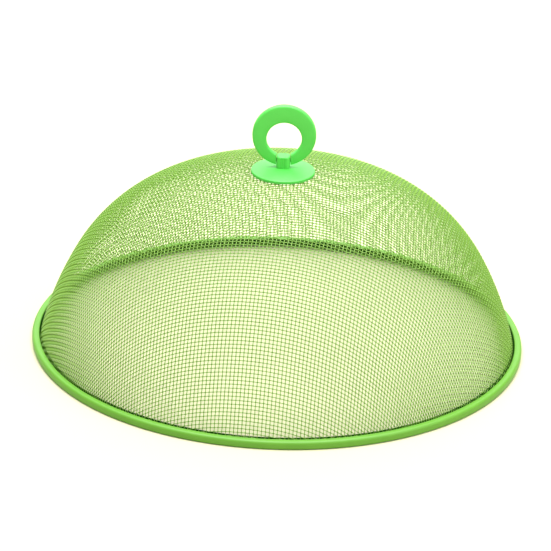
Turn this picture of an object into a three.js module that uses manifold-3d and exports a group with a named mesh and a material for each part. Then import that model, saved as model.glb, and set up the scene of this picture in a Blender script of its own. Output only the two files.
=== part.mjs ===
// Domed wire-mesh food cover, 350 mm across, in millimetres with +Z up.
// A drawn cloth of woven wire is hemmed over a hoop inside a rolled sheet-steel rim.
// A moulded handle base is screwed through the crown and carries a ring that folds down.
// The rim stands on z = 0 and the axis of the dome is the Z axis.

import * as THREE from "three";
import { mergeVertices } from "three/addons/utils/BufferGeometryUtils.js";
import Module from "manifold-3d";

const wasm = await Module();
wasm.setup();

// Clearances between pieces, and the overrun of every cut
const seatGap = 0.3;
const pivotGap = 0.3;
const cutOverrun = 1;

// Rolled rim: a channel of sheet steel, open towards the dome's axis
const rimRadius = 175;
const rimHeight = 6.1;
const rimWidth = 5.1;
const rimSheet = 0.8;
const rimCornerRadius = 1.5;
const lipGap = 1.5;

// Wire hoop that the cloth is hemmed over
const hoopWireRadius = 1.25;

// Dome of woven wire
const domeHeight = 130.9;
const clothThickness = 1;
const clothHoleRadius = 2.3;

// The cloth's weave is far finer than a solid needs, so a coarse net stands in for it: bands of openings
// between ribs that run down the dome. Not every rib of the foot reaches the upper bands: each band, from
// the crown down, has its share of them. The cloth stays closed for a border beyond the disc and above
// the rim's lip.
const netBarWidth = 5.6;
const netBorder = 2;
const netFootRibs = 36;
const netRibShares = [1 / 4, 1 / 2, 1 / 2, 1, 1, 1, 1];

// The dome's meridian is a three-centred arch. Each arc has a radius, as a share of the foot's radius,
// and the angle from the axis at which it ends.
const archRadiusShares = [1.356, 0.724, 1.386];
const archEndAngles = [22, 61, 75.4].map(THREE.MathUtils.degToRad);
const hemEndAngle = THREE.MathUtils.degToRad(-45);

// Handle base: a crowned disc with a square post
const discRadius = 22.4;
const discEdgeHeight = 2.2;
const discEdgeRadius = 0.7;
const discCrown = 2.3;
const postWidth = 9.6;
const postDepth = 9.4;
const postHeight = 8.6;
const postCornerRadius = 3;
const postTopRadius = 0.9;

// Ring: a flat ring whose hole sits low, split at the post and pivoted there on two pins
const ringRadius = 22.4;
const ringHoleRadius = 12.35;
const ringHoleDrop = 2.75;
const ringThickness = 5;
const ringEdgeRadius = 1.3;
const ringLift = 1.5;
const pinRadius = 1.6;
const pinLength = 2.2;

// Clamp under the crown
const backingRadius = 11;
const backingThickness = 1.6;
const backingEdgeRadius = 0.6;
const washerRadius = 4.6;
const washerThickness = 0.8;
const screwRadius = 1.75;
const screwHeadRadius = 3.6;
const screwHeadHeight = 2.4;
const screwHeadCornerRadius = 1.3;
const recessWidth = 0.9;
const recessLength = 3.8;
const recessDepth = 1.2;
const screwEndWall = 0.6;

// Facets round each kind of circle: round the foot, one for each rib and one for each opening
const aroundSegments = 2 * netFootRibs;
const smallSegments = 28;
const pinSegments = 16;
const cornerSegments = 3;
const arcSegmentShares = [0.4, 0.45, 0.15];
const meridianSegments = 14;
const crownSegments = 3;
const openingSegments = 2;
const hemSegments = 4;

const paintedSteel = { color: 0x7cc94a, roughness: 0.35, metalness: 0.1 };
const paintedCloth = { color: 0x9fc63e, roughness: 0.45, metalness: 0.1 };
const mouldedPlastic = { color: 0x5fdc5c, roughness: 0.3, metalness: 0 };
const zincSteel = { color: 0xb9bdc2, roughness: 0.3, metalness: 1 };

// Turns a closed geometry into a solid that can be joined and cut.
function solidOf(geometry) {
  const bare = geometry.clone();
  bare.deleteAttribute("normal");
  bare.deleteAttribute("uv");
  const merged = mergeVertices(bare);
  const vertProperties = merged.attributes.position.array;
  const triVerts = new Uint32Array(merged.index.array);
  return new wasm.Manifold(new wasm.Mesh({ numProp: 3, vertProperties, triVerts }));
}

// Turns a solid back into a geometry.
function geometryOf(solid) {
  const { vertProperties, triVerts } = solid.getMesh();
  const geometry = new THREE.BufferGeometry();
  geometry.setAttribute("position", new THREE.BufferAttribute(vertProperties, 3));
  geometry.setIndex(new THREE.BufferAttribute(triVerts, 1));
  geometry.computeVertexNormals();
  return geometry;
}

// A named piece made of a solid.
function piece(name, solid, look) {
  const mesh = new THREE.Mesh(geometryOf(solid), new THREE.MeshStandardMaterial(look));
  mesh.name = name;
  return mesh;
}

// Points on an arc, both ends included.
function arcPoints(centre, radius, fromAngle, toAngle, segments) {
  const points = [];
  for (let i = 0; i <= segments; i++) {
    const angle = THREE.MathUtils.lerp(fromAngle, toAngle, i / segments);
    const spoke = new THREE.Vector2(Math.cos(angle), Math.sin(angle));
    points.push(spoke.multiplyScalar(radius).add(centre));
  }
  return points;
}

// Rounds one corner of an outline: the arc that touches the sides to its two neighbours.
function roundedCorner(before, corner, after, radius) {
  const toBefore = before.clone().sub(corner).normalize();
  const toAfter = after.clone().sub(corner).normalize();
  const halfAngle = Math.acos(toBefore.dot(toAfter)) / 2;
  const towardsCentre = toBefore.clone().add(toAfter).normalize();
  const centre = corner.clone().addScaledVector(towardsCentre, radius / Math.sin(halfAngle));
  const reach = radius / Math.tan(halfAngle);
  const start = corner.clone().addScaledVector(toBefore, reach).sub(centre).angle();
  const end = corner.clone().addScaledVector(toAfter, reach).sub(centre).angle();
  const turn = Math.atan2(Math.sin(end - start), Math.cos(end - start));
  return arcPoints(centre, radius, start, start + turn, cornerSegments);
}

// An outline from corners [r, z, corner radius]; a corner radius of 0 leaves the corner sharp.
function outlineOf(corners) {
  const points = corners.map(([r, z]) => new THREE.Vector2(r, z));
  return points.flatMap((corner, i) => {
    const radius = corners[i][2];
    if (radius === 0) return [corner];
    const before = points[(i + points.length - 1) % points.length];
    const after = points[(i + 1) % points.length];
    return roundedCorner(before, corner, after, radius);
  });
}

// Revolves a closed outline of radius and height about the Z axis.
function revolved(outline, segments) {
  const turned = THREE.ShapeUtils.isClockWise(outline) ? [...outline].reverse() : [...outline];
  turned.push(turned[0].clone());
  return solidOf(new THREE.LatheGeometry(turned, segments).rotateX(Math.PI / 2));
}

// A cylinder along the Z axis between two heights.
function uprightCylinder(radius, bottom, top, segments) {
  const cylinder = new THREE.CylinderGeometry(radius, radius, top - bottom, segments);
  return solidOf(cylinder.rotateX(Math.PI / 2).translate(0, 0, (bottom + top) / 2));
}

// A cylinder along the X axis between two places, through the origin's height.
function crosswiseCylinder(radius, left, right) {
  const cylinder = new THREE.CylinderGeometry(radius, radius, right - left, pinSegments);
  return solidOf(cylinder.rotateZ(Math.PI / 2).translate((left + right) / 2, 0, 0));
}

// The foot of the arch, where the dome passes the rim's lip
const lipRadius = rimRadius - rimWidth;
const archFoot = new THREE.Vector2(lipRadius - lipGap, rimHeight);

// One point of the arch before it is fitted to the foot: distance from the axis, and drop below the apex.
function unitArchPoint(arc, angle) {
  const point = new THREE.Vector2(0, 0);
  let from = 0;
  for (let i = 0; i <= arc; i++) {
    const to = i < arc ? archEndAngles[i] : angle;
    point.x += archRadiusShares[i] * (Math.sin(to) - Math.sin(from));
    point.y += archRadiusShares[i] * (Math.cos(from) - Math.cos(to));
    from = to;
  }
  return point;
}

const lastArc = archEndAngles.length - 1;
const unitFoot = unitArchPoint(lastArc, archEndAngles[lastArc]);
const archScale = new THREE.Vector2(archFoot.x / unitFoot.x, (domeHeight - archFoot.y) / unitFoot.y);

// One point of the cloth's outer surface.
function archPoint(arc, angle) {
  const unit = unitArchPoint(arc, angle);
  return new THREE.Vector2(unit.x * archScale.x, domeHeight - unit.y * archScale.y);
}

// The crown arc's angle at a distance from the axis.
function crownAngleAt(radius) {
  return Math.asin(radius / (archRadiusShares[0] * archScale.x));
}

// The height of the cloth's outer surface near the crown.
function crownHeightAt(radius) {
  return archPoint(0, crownAngleAt(radius)).y;
}

// The straight skirt below the arch leans as the wall does at the arch's foot.
const wallAngle = archEndAngles[lastArc];
const skirtDown = new THREE.Vector2(
  archScale.x * Math.cos(wallAngle),
  -archScale.y * Math.sin(wallAngle),
).normalize();
const skirtOut = new THREE.Vector2(-skirtDown.y, skirtDown.x);

// The hoop lies in the hem, which rests on the rim's lower flange.
const hemInnerRadius = hoopWireRadius + seatGap;
const hoopHeight = rimSheet + seatGap + clothThickness + hemInnerRadius;
const skirtLength = (archFoot.y + skirtOut.y * hemInnerRadius - hoopHeight) / -skirtDown.y;
const skirtEnd = archFoot.clone().addScaledVector(skirtDown, skirtLength);
const hoopCentre = skirtEnd.clone().addScaledVector(skirtOut, hemInnerRadius);

// The meridian of the cloth's outer surface, from the apex to the arch's foot.
function makeMeridian() {
  const points = [];
  let from = 0;
  archEndAngles.forEach((to, arc) => {
    const steps = Math.round(meridianSegments * arcSegmentShares[arc]);
    for (let i = arc === 0 ? 0 : 1; i <= steps; i++) {
      points.push(archPoint(arc, THREE.MathUtils.lerp(from, to, i / steps)));
    }
    from = to;
  });
  return new THREE.SplineCurve(points);
}

const meridian = makeMeridian();
const clothRun = meridian.getLength();

// A line moved sideways by a distance, to the right of its own direction.
function movedSideways(line, distance) {
  return line.map((point, i) => {
    const before = line[Math.max(i - 1, 0)];
    const after = line[Math.min(i + 1, line.length - 1)];
    const along = after.clone().sub(before).normalize();
    return point.clone().add(new THREE.Vector2(along.y, -along.x).multiplyScalar(distance));
  });
}

// Where the net starts and ends, and how far each opening reaches, along the meridian
const netStart = discRadius + netBorder;
const netEnd = clothRun - netBorder;
const netBands = netRibShares.length;
const openingRun = (netEnd - netStart - (netBands - 1) * netBarWidth) / netBands;

// Rows of the cloth along part of the meridian. Those of the net have a share of its ribs, and the others
// have none and are evenly divided. An open row has openings between it and the next.
function archRows(from, to, steps, ribShare, isOpen) {
  const rows = [];
  for (let i = 0; i < steps; i++) {
    const run = THREE.MathUtils.lerp(from, to, i / steps);
    rows.push({ place: meridian.getPointAt(run / clothRun), ribShare, isOpen });
  }
  return rows;
}

// All rows of the cloth: the closed crown from the screw's hole, the net, the foot and the hem.
function clothRows() {
  const rows = archRows(clothHoleRadius, netStart, crownSegments, 0, false);
  netRibShares.forEach((ribShare, band) => {
    const from = netStart + band * (openingRun + netBarWidth);
    const to = from + openingRun;
    rows.push(...archRows(from, to, openingSegments, ribShare, true));
    rows.push(...archRows(to, to + netBarWidth, 1, ribShare, false));
  });
  const hemStart = skirtOut.clone().negate().angle();
  const hemEnd = hemEndAngle + 2 * Math.PI;
  const hem = arcPoints(hoopCentre, hemInnerRadius, hemStart, hemEnd, hemSegments);
  const closed = [archFoot, ...hem].map((place) => ({ place, ribShare: 0, isOpen: false }));
  return rows.concat(closed);
}

// How many of a row's lines go with each rib.
function linesPerRib(ribShare) {
  return 2 / (ribShare || 1);
}

// The angles of a row's lines. A rib lies between the first two lines of each group, and the others
// divide the opening beside it evenly.
function rowAngles({ place, ribShare }) {
  const groupAngle = (2 * Math.PI) / (netFootRibs * (ribShare || 1));
  const lines = linesPerRib(ribShare);
  const halfRib = ribShare ? Math.asin(netBarWidth / 2 / place.x) : groupAngle / 4;
  const firstRib = Math.PI / aroundSegments;
  const angles = [];
  for (let i = 0; i < aroundSegments; i++) {
    const line = i % lines;
    const across = line ? halfRib + ((line - 1) * (groupAngle - 2 * halfRib)) / (lines - 1) : -halfRib;
    angles.push(firstRib + Math.floor(i / lines) * groupAngle + across);
  }
  return angles;
}

// Whether the cell after a row and after a line in it is an opening. Beyond the rows all is open.
function isOpenCell(row, i) {
  return !row || (row.isOpen && i % linesPerRib(row.ribShare) > 0);
}

// The faces of a sheet of cells with openings: each closed cell has a face on both sides, and a wall
// towards each open neighbour. Corners on the inner side follow those on the outer side.
function sheetFaces(rows) {
  const cells = rows.slice(0, -1);
  const innerOffset = rows.length * aroundSegments;
  const faces = [];
  cells.forEach((row, i) => {
    for (let j = 0; j < aroundSegments; j++) {
      if (isOpenCell(row, j)) continue;
      const next = (j + 1) % aroundSegments;
      const before = (j + aroundSegments - 1) % aroundSegments;
      const near = i * aroundSegments;
      const far = near + aroundSegments;
      const corners = [near + j, far + j, far + next, near + next];
      const isOpenBeside = [
        isOpenCell(row, before),
        isOpenCell(cells[i + 1], j),
        isOpenCell(row, next),
        isOpenCell(cells[i - 1], j),
      ];
      faces.push(corners, corners.map((corner) => corner + innerOffset).reverse());
      corners.forEach((from, side) => {
        const to = corners[(side + 1) % corners.length];
        if (isOpenBeside[side]) faces.push([to, from, from + innerOffset, to + innerOffset]);
      });
    }
  });
  return faces;
}

// The dome: one sheet of cloth with the net's openings, its edge turned out into a hem.
function makeMeshDome() {
  const rows = clothRows();
  const angles = rows.map(rowAngles);
  const outer = rows.map((row) => row.place);
  const positions = [outer, movedSideways(outer, clothThickness)].flatMap((line) =>
    line.flatMap(({ x, y }, i) => angles[i].flatMap((a) => [x * Math.cos(a), x * Math.sin(a), y])),
  );
  const sheet = new THREE.BufferGeometry();
  sheet.setAttribute("position", new THREE.Float32BufferAttribute(positions, 3));
  sheet.setIndex(sheetFaces(rows).flatMap(([a, b, c, d]) => [a, b, c, a, c, d]));
  return piece("mesh_dome", solidOf(sheet), paintedCloth);
}

// The rolled rim, with a flat lip above and a flat foot below.
function makeRimBand() {
  const innerWall = rimRadius - rimSheet;
  const innerCorner = rimCornerRadius - rimSheet;
  const outline = outlineOf([
    [lipRadius, rimHeight, 0],
    [rimRadius, rimHeight, rimCornerRadius],
    [rimRadius, 0, rimCornerRadius],
    [lipRadius, 0, 0],
    [lipRadius, rimSheet, 0],
    [innerWall, rimSheet, innerCorner],
    [innerWall, rimHeight - rimSheet, innerCorner],
    [lipRadius, rimHeight - rimSheet, 0],
  ]);
  return piece("rim_band", revolved(outline, aroundSegments), paintedSteel);
}

// The hoop of thick wire inside the hem.
function makeRimHoop() {
  const section = arcPoints(hoopCentre, hoopWireRadius, 0, 2 * Math.PI, 2 * hemSegments).slice(1);
  return piece("rim_hoop", revolved(section, aroundSegments), zincSteel);
}

// Heights of the handle, from the cloth upwards
const discEdgeBottom = crownHeightAt(discRadius) + seatGap;
const discEdgeTop = discEdgeBottom + discEdgeHeight;
const discTop = discEdgeTop + discCrown;
const postTop = discTop + postHeight;
const ringCentre = discTop + ringLift + ringRadius;
const ringFoot = ringCentre - ringRadius;
const holeFoot = ringCentre - ringHoleDrop - ringHoleRadius;
const pivotHeight = (ringFoot + holeFoot) / 2;
const socketRadius = pinRadius + pivotGap;
const socketDepth = pinLength + pivotGap;
const screwTip = pivotHeight - socketRadius - screwEndWall - seatGap;
const boreRadius = screwRadius + seatGap;

// The disc's half section: its underside follows the cloth and its top is a shallow cap.
function discOutline() {
  const capRadius = (discRadius ** 2 + discCrown ** 2) / (2 * discCrown);
  const capSpread = Math.asin((discRadius - discEdgeRadius) / capRadius);
  const capCentre = new THREE.Vector2(0, discTop - capRadius);
  const quarterTurn = Math.PI / 2;
  const cap = arcPoints(capCentre, capRadius, quarterTurn - capSpread, quarterTurn, hemSegments);
  const shoulder = cap[0].y - discEdgeRadius;
  const underside = [];
  for (let i = 0; i <= hemSegments; i++) {
    const radius = discRadius * (i / hemSegments);
    underside.push(new THREE.Vector2(radius, crownHeightAt(radius) + seatGap));
  }
  return [...underside, new THREE.Vector2(discRadius, shoulder), ...cap];
}

// The post's block, rooted inside the disc, with rounded upright corners and a softened top.
function postBlock() {
  const halfWidth = postWidth / 2 - postTopRadius;
  const halfDepth = postDepth / 2 - postTopRadius;
  const corner = postCornerRadius - postTopRadius;
  const outline = outlineOf([
    [-halfWidth, -halfDepth, corner],
    [halfWidth, -halfDepth, corner],
    [halfWidth, halfDepth, corner],
    [-halfWidth, halfDepth, corner],
  ]);
  const block = new THREE.ExtrudeGeometry(new THREE.Shape(outline), {
    depth: postTop - discEdgeTop - 2 * postTopRadius,
    bevelThickness: postTopRadius,
    bevelSize: postTopRadius,
    bevelSegments: cornerSegments,
  });
  return solidOf(block.translate(0, 0, discEdgeTop + postTopRadius));
}

// The moulded base: disc and post in one, with a socket in each side and a bore for the screw.
function makeHandleBase() {
  let solid = revolved(discOutline(), smallSegments).add(postBlock());
  for (const side of [-1, 1]) {
    const mouth = side * (postWidth / 2 + cutOverrun);
    const end = side * (postWidth / 2 - socketDepth);
    const socket = crosswiseCylinder(socketRadius, Math.min(mouth, end), Math.max(mouth, end));
    solid = solid.subtract(socket.translate(0, 0, pivotHeight));
  }
  const bore = uprightCylinder(boreRadius, domeHeight - cutOverrun, screwTip + seatGap, pinSegments);
  return piece("handle_base", solid.subtract(bore), mouldedPlastic);
}

// The ring's flat body, standing upright about the pivot.
function ringBody() {
  const outline = new THREE.Shape();
  outline.absarc(0, 0, ringRadius - ringEdgeRadius, 0, 2 * Math.PI);
  const hole = new THREE.Path();
  hole.absarc(0, -ringHoleDrop, ringHoleRadius + ringEdgeRadius, 0, 2 * Math.PI);
  outline.holes.push(hole);
  const body = new THREE.ExtrudeGeometry(outline, {
    depth: ringThickness - 2 * ringEdgeRadius,
    bevelThickness: ringEdgeRadius,
    bevelSize: ringEdgeRadius,
    bevelSegments: cornerSegments,
    curveSegments: smallSegments,
  });
  const halfDepth = ringThickness / 2 - ringEdgeRadius;
  body.translate(0, 0, -halfDepth).rotateX(Math.PI / 2);
  return solidOf(body.translate(0, 0, ringCentre - pivotHeight));
}

// The ring, cut open where the post stands, with a pin on each end that snaps into the post.
function makeRingHandle() {
  const endFace = postWidth / 2 + pivotGap;
  const slotHeight = holeFoot - ringFoot + 2 * cutOverrun;
  const slot = new THREE.BoxGeometry(2 * endFace, ringThickness + 2 * cutOverrun, slotHeight);
  let solid = ringBody().subtract(solidOf(slot));
  for (const side of [-1, 1]) {
    const root = side * (endFace + cutOverrun);
    const tip = side * (postWidth / 2 - pinLength);
    solid = solid.add(crosswiseCylinder(pinRadius, Math.min(root, tip), Math.max(root, tip)));
  }
  return piece("ring_handle", solid, mouldedPlastic);
}

// Heights of the clamp, from the cloth downwards
const backingTop = crownHeightAt(backingRadius) - clothThickness - seatGap;
const backingBottom = backingTop - backingThickness;
const washerTop = backingBottom - seatGap;
const washerBottom = washerTop - washerThickness;
const headTop = washerBottom - seatGap;
const headBottom = headTop - screwHeadHeight;

// The moulded backing disc, which spreads the screw's pull over the cloth.
function makeBackingDisc() {
  const outline = outlineOf([
    [boreRadius, backingTop, 0],
    [boreRadius, backingBottom, 0],
    [backingRadius, backingBottom, backingEdgeRadius],
    [backingRadius, backingTop, 0],
  ]);
  return piece("backing_disc", revolved(outline, smallSegments), mouldedPlastic);
}

// The steel washer under the screw's head.
function makeScrewWasher() {
  const outline = outlineOf([
    [boreRadius, washerTop, 0],
    [boreRadius, washerBottom, 0],
    [washerRadius, washerBottom, 0],
    [washerRadius, washerTop, 0],
  ]);
  return piece("screw_washer", revolved(outline, smallSegments), zincSteel);
}

// The pan-head screw with a crossed recess, driven up from inside the dome.
function makeClampScrew() {
  const outline = outlineOf([
    [0, screwTip, 0],
    [0, headBottom, 0],
    [screwHeadRadius, headBottom, screwHeadCornerRadius],
    [screwHeadRadius, headTop, 0],
    [screwRadius, headTop, 0],
    [screwRadius, screwTip, 0],
  ]);
  let solid = revolved(outline, smallSegments);
  const slotHeight = recessDepth + cutOverrun;
  const slotCentre = headBottom + recessDepth - slotHeight / 2;
  for (const turn of [0, Math.PI / 2]) {
    const slot = new THREE.BoxGeometry(recessLength, recessWidth, slotHeight);
    solid = solid.subtract(solidOf(slot.rotateZ(turn).translate(0, 0, slotCentre)));
  }
  return piece("clamp_screw", solid, zincSteel);
}

const cover = new THREE.Group();
cover.add(makeMeshDome(), makeRimBand(), makeRimHoop());

const handle = new THREE.Group();
handle.add(makeHandleBase(), makeBackingDisc(), makeScrewWasher(), makeClampScrew());

const ringPivot = new THREE.Group();
ringPivot.position.z = pivotHeight;
ringPivot.add(makeRingHandle());

handle.add(ringPivot);
cover.add(handle);

export default cover;
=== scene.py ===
"""Looks of a domed wire-mesh food cover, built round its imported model.

The cover is a dome of woven, painted steel wire whose edge is hemmed over a hoop inside a rolled,
powder-coated rim. A moulded handle base is screwed through the crown and carries a folding ring.
Lengths are named in millimetres and turned to metres by one constant.
"""

import logging
import math
from dataclasses import dataclass, field
from enum import Enum

import bmesh
import bpy
import numpy as np
from mathutils import Matrix, Quaternion, Vector


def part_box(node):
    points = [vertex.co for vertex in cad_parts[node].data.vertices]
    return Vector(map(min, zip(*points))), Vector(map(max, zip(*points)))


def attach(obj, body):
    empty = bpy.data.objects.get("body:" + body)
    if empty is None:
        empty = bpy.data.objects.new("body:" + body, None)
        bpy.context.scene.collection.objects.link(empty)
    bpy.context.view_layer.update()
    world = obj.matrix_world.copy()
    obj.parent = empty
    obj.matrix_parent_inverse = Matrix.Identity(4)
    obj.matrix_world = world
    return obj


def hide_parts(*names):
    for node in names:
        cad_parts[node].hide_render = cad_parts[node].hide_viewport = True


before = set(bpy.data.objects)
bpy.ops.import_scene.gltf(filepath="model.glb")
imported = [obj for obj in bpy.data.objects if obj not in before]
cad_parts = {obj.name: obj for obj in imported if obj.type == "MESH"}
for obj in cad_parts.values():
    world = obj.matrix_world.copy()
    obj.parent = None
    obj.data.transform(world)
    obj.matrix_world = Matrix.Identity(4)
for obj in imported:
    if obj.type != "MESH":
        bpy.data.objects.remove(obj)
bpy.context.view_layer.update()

MM = 0.001
SAME = 0.001 * MM
NEAR = 0.01 * MM
OVERRUN = 1.0 * MM
FULL_TURN = 2 * math.pi
ROUND_PROFILE = 0.5
POOLED_AND_SHADED = "pooled_and_shaded"
LOG = logging.getLogger("food_cover")


class Body(Enum):
    """The bodies that pieces ride on."""

    COVER = "cover"
    RING = "ring"


class Slot(Enum):
    """The record's material slots."""

    CLOTH = "painted_cloth"
    RIM = "painted_rim"
    PLASTIC = "handle_plastic"
    STEEL = "bare_steel"


class Run(Enum):
    """The two ways that wires run in the cloth."""

    WARP = "warp"
    WEFT = "weft"


class Join(Enum):
    """The two ways that one closed shape changes another."""

    UNITE = "UNION"
    CUT = "DIFFERENCE"


# Small helpers


def linear_colour(hex_colour: str) -> tuple[float, float, float, float]:
    """Turns an sRGB hex colour into linear red, green, blue and alpha.

    Args:
        hex_colour: Six hex digits, such as "7cc94a".

    Returns:
        The linear colour, opaque.
    """
    shares = [int(hex_colour[i : i + 2], 16) / 255 for i in (0, 2, 4)]
    return tuple(s / 12.92 if s <= 0.04045 else ((s + 0.055) / 1.055) ** 2.4 for s in shares) + (1.0,)


def add_node(tree: bpy.types.NodeTree, kind: str, links: dict | None = None, **settings) -> bpy.types.Node:
    """Adds a node, sets its properties and input values, and links its inputs.

    Args:
        tree: The node tree that it goes into.
        kind: The node's type name, such as "ShaderNodeBump".
        links: For each input's name or number, the output socket that feeds it.
        **settings: Properties by name, and "inputs" as a dict of input name or number to value.

    Returns:
        The new node.
    """
    node = tree.nodes.new(kind)
    inputs = settings.pop("inputs", {})
    for name, value in settings.items():
        setattr(node, name, value)
    for name, value in inputs.items():
        node.inputs[name].default_value = value
    for name, socket in (links or {}).items():
        tree.links.new(socket, node.inputs[name])
    return node


def new_object(name: str, data: bpy.types.ID) -> bpy.types.Object:
    """Puts a mesh or curve in the scene as an object at the origin."""
    obj = bpy.data.objects.new(name, data)
    bpy.context.scene.collection.objects.link(obj)
    return obj


def finished_piece(name: str, bm: bmesh.types.BMesh, smooth_degrees: float = 35.0) -> bpy.types.Object:
    """Turns a bmesh into a finished object, with smooth shading and crisp corners.

    Args:
        name: The piece's name.
        bm: The bmesh, which is freed.
        smooth_degrees: Edges that turn by more than this stay sharp.

    Returns:
        The new object.
    """
    bmesh.ops.remove_doubles(bm, verts=bm.verts, dist=SAME)
    bmesh.ops.recalc_face_normals(bm, faces=bm.faces)
    limit = math.radians(smooth_degrees)
    for face in bm.faces:
        face.smooth = True
    for edge in bm.edges:
        edge.smooth = len(edge.link_faces) == 2 and edge.calc_face_angle(0) < limit
    mesh = bpy.data.meshes.new(name)
    bm.to_mesh(mesh)
    bm.free()
    return new_object(name, mesh)


def section(
    corners: list[tuple[float, float]], rounds: dict[int, float], segments: int = 5
) -> bmesh.types.BMesh:
    """Makes a half section in the XZ plane from a few corners, some of them rounded.

    Args:
        corners: Radius and height of each corner, in metres, in order.
        rounds: The corner radius for each corner number that is rounded.
        segments: Facets on each rounded corner.

    Returns:
        A bmesh that holds the section as one face.
    """
    bm = bmesh.new()
    verts = [bm.verts.new((r, 0, z)) for r, z in corners]
    bm.faces.new(verts)
    for number, radius in rounds.items():
        corner, before, after = (Vector(corners[(number + k) % len(corners)]) for k in (0, -1, 1))
        half = (before - corner).angle(after - corner) / 2
        bmesh.ops.bevel(
            bm,
            geom=[verts[number]],
            offset=radius / math.tan(half),
            offset_type="ABSOLUTE",
            segments=segments,
            profile=ROUND_PROFILE,
            affect="VERTICES",
            material=-1,
        )
    return bm


def spun(bm: bmesh.types.BMesh, steps: int) -> bmesh.types.BMesh:
    """Revolves a section about the Z axis into a closed ring or button.

    Args:
        bm: A bmesh with the section in the XZ plane.
        steps: Facets round the axis.

    Returns:
        The same bmesh, holding only the revolved skin.
    """
    on_axis = [e for e in bm.edges if max(abs(v.co.x) for v in e.verts) < SAME]
    bmesh.ops.delete(bm, geom=list(bm.faces), context="FACES_ONLY")
    bmesh.ops.delete(bm, geom=on_axis, context="EDGES")
    bmesh.ops.spin(
        bm,
        geom=list(bm.verts) + list(bm.edges),
        cent=(0, 0, 0),
        axis=(0, 0, 1),
        angle=FULL_TURN,
        steps=steps,
        use_merge=True,
    )
    bmesh.ops.remove_doubles(bm, verts=bm.verts, dist=SAME)
    bmesh.ops.recalc_face_normals(bm, faces=bm.faces)
    return bm


def block(size: tuple[float, float, float], centre: tuple[float, float, float]) -> bmesh.types.BMesh:
    """Makes a box of a size, in metres, about a centre."""
    bm = bmesh.new()
    bmesh.ops.create_cube(bm, size=1.0, matrix=Matrix.Translation(centre) @ Matrix.Diagonal((*size, 1)))
    return bm


def crosswise_pin(
    radius: float, start: float, end: float, height: float, segments: int = 40
) -> bmesh.types.BMesh:
    """Makes a round pin along X.

    Args:
        radius: The pin's radius.
        start: X of one end.
        end: X of the other end.
        height: Z of its axis.
        segments: Facets round it.

    Returns:
        A bmesh that holds the closed pin.
    """
    bm = bmesh.new()
    turn = Matrix.Rotation(math.pi / 2, 4, "Y")
    place = Matrix.Translation(((start + end) / 2, 0, height)) @ turn
    bmesh.ops.create_cone(
        bm,
        cap_ends=True,
        segments=segments,
        radius1=radius,
        radius2=radius,
        depth=abs(end - start),
        matrix=place,
    )
    return bm


def joined(base: bmesh.types.BMesh, tool: bmesh.types.BMesh, join: Join) -> bmesh.types.BMesh:
    """Unites two closed shapes, or cuts one out of the other.

    Args:
        base: The shape that is kept, which is freed.
        tool: The shape that is added or taken away, which is freed.
        join: Whether it is added or taken away.

    Returns:
        A new bmesh with the result.
    """
    objs = []
    for bm in (base, tool):
        bmesh.ops.recalc_face_normals(bm, faces=bm.faces)
        mesh = bpy.data.meshes.new("shape")
        bm.to_mesh(mesh)
        bm.free()
        objs.append(new_object("shape", mesh))
    modifier = objs[0].modifiers.new("join", "BOOLEAN")
    modifier.operation, modifier.solver, modifier.object = join.value, "EXACT", objs[1]
    result = bmesh.new()
    result.from_object(objs[0], bpy.context.evaluated_depsgraph_get())
    for obj in objs:
        bpy.data.meshes.remove(obj.data)
    return result


def soften(
    bm: bmesh.types.BMesh, edges: list[bmesh.types.BMEdge], radius: float, segments: int = 4
) -> None:
    """Rounds edges to a radius.

    Args:
        bm: The bmesh, which is changed.
        edges: The edges that are rounded.
        radius: The radius on a square edge.
        segments: Facets on each rounded edge.
    """
    bmesh.ops.bevel(
        bm,
        geom=edges,
        offset=radius,
        segments=segments,
        profile=ROUND_PROFILE,
        affect="EDGES",
        material=-1,
        clamp_overlap=True,
    )


# Finishes


def new_material(name: str) -> tuple[bpy.types.Material, bpy.types.NodeTree, bpy.types.Node]:
    """Starts a material.

    Args:
        name: The finish's common name.

    Returns:
        The material, its node tree and its Principled shader.
    """
    material = bpy.data.materials.new(name)
    material.use_nodes = True
    return material, material.node_tree, material.node_tree.nodes["Principled BSDF"]


def mottled_colour(
    tree: bpy.types.NodeTree, coords: bpy.types.NodeSocket, patch: float, dark: str, light: str
) -> bpy.types.NodeSocket:
    """Adds a soft mottle between two colours.

    Args:
        tree: The material's node tree.
        coords: The coordinates that the pattern reads.
        patch: The size of one patch, in metres.
        dark: The sRGB hex of the darker patches.
        light: The sRGB hex of the lighter patches.

    Returns:
        The colour socket.
    """
    grain = {"Scale": 1 / patch, "Detail": 3.0}
    noise = add_node(tree, "ShaderNodeTexNoise", {"Vector": coords}, inputs=grain)
    ends = {6: linear_colour(dark), 7: linear_colour(light)}
    mix = add_node(tree, "ShaderNodeMix", {0: noise.outputs["Fac"]}, data_type="RGBA", inputs=ends)
    return mix.outputs[2]


def mottled_material(
    name: str, dark: str, light: str, patch: float, roughness: float
) -> tuple[bpy.types.Material, bpy.types.NodeTree, bpy.types.Node]:
    """Starts a material with a soft mottle between two colours.

    Args:
        name: The finish's common name.
        dark: The sRGB hex of the darker patches.
        light: The sRGB hex of the lighter patches.
        patch: The size of one patch, in metres.
        roughness: How far the finish spreads a reflection, from 0 to 1.

    Returns:
        The material, its node tree and its Principled shader.
    """
    material, tree, shader = new_material(name)
    coords = add_node(tree, "ShaderNodeTexCoord").outputs["Object"]
    tree.links.new(mottled_colour(tree, coords, patch, dark, light), shader.inputs["Base Color"])
    shader.inputs["Roughness"].default_value = roughness
    return material, tree, shader


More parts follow.
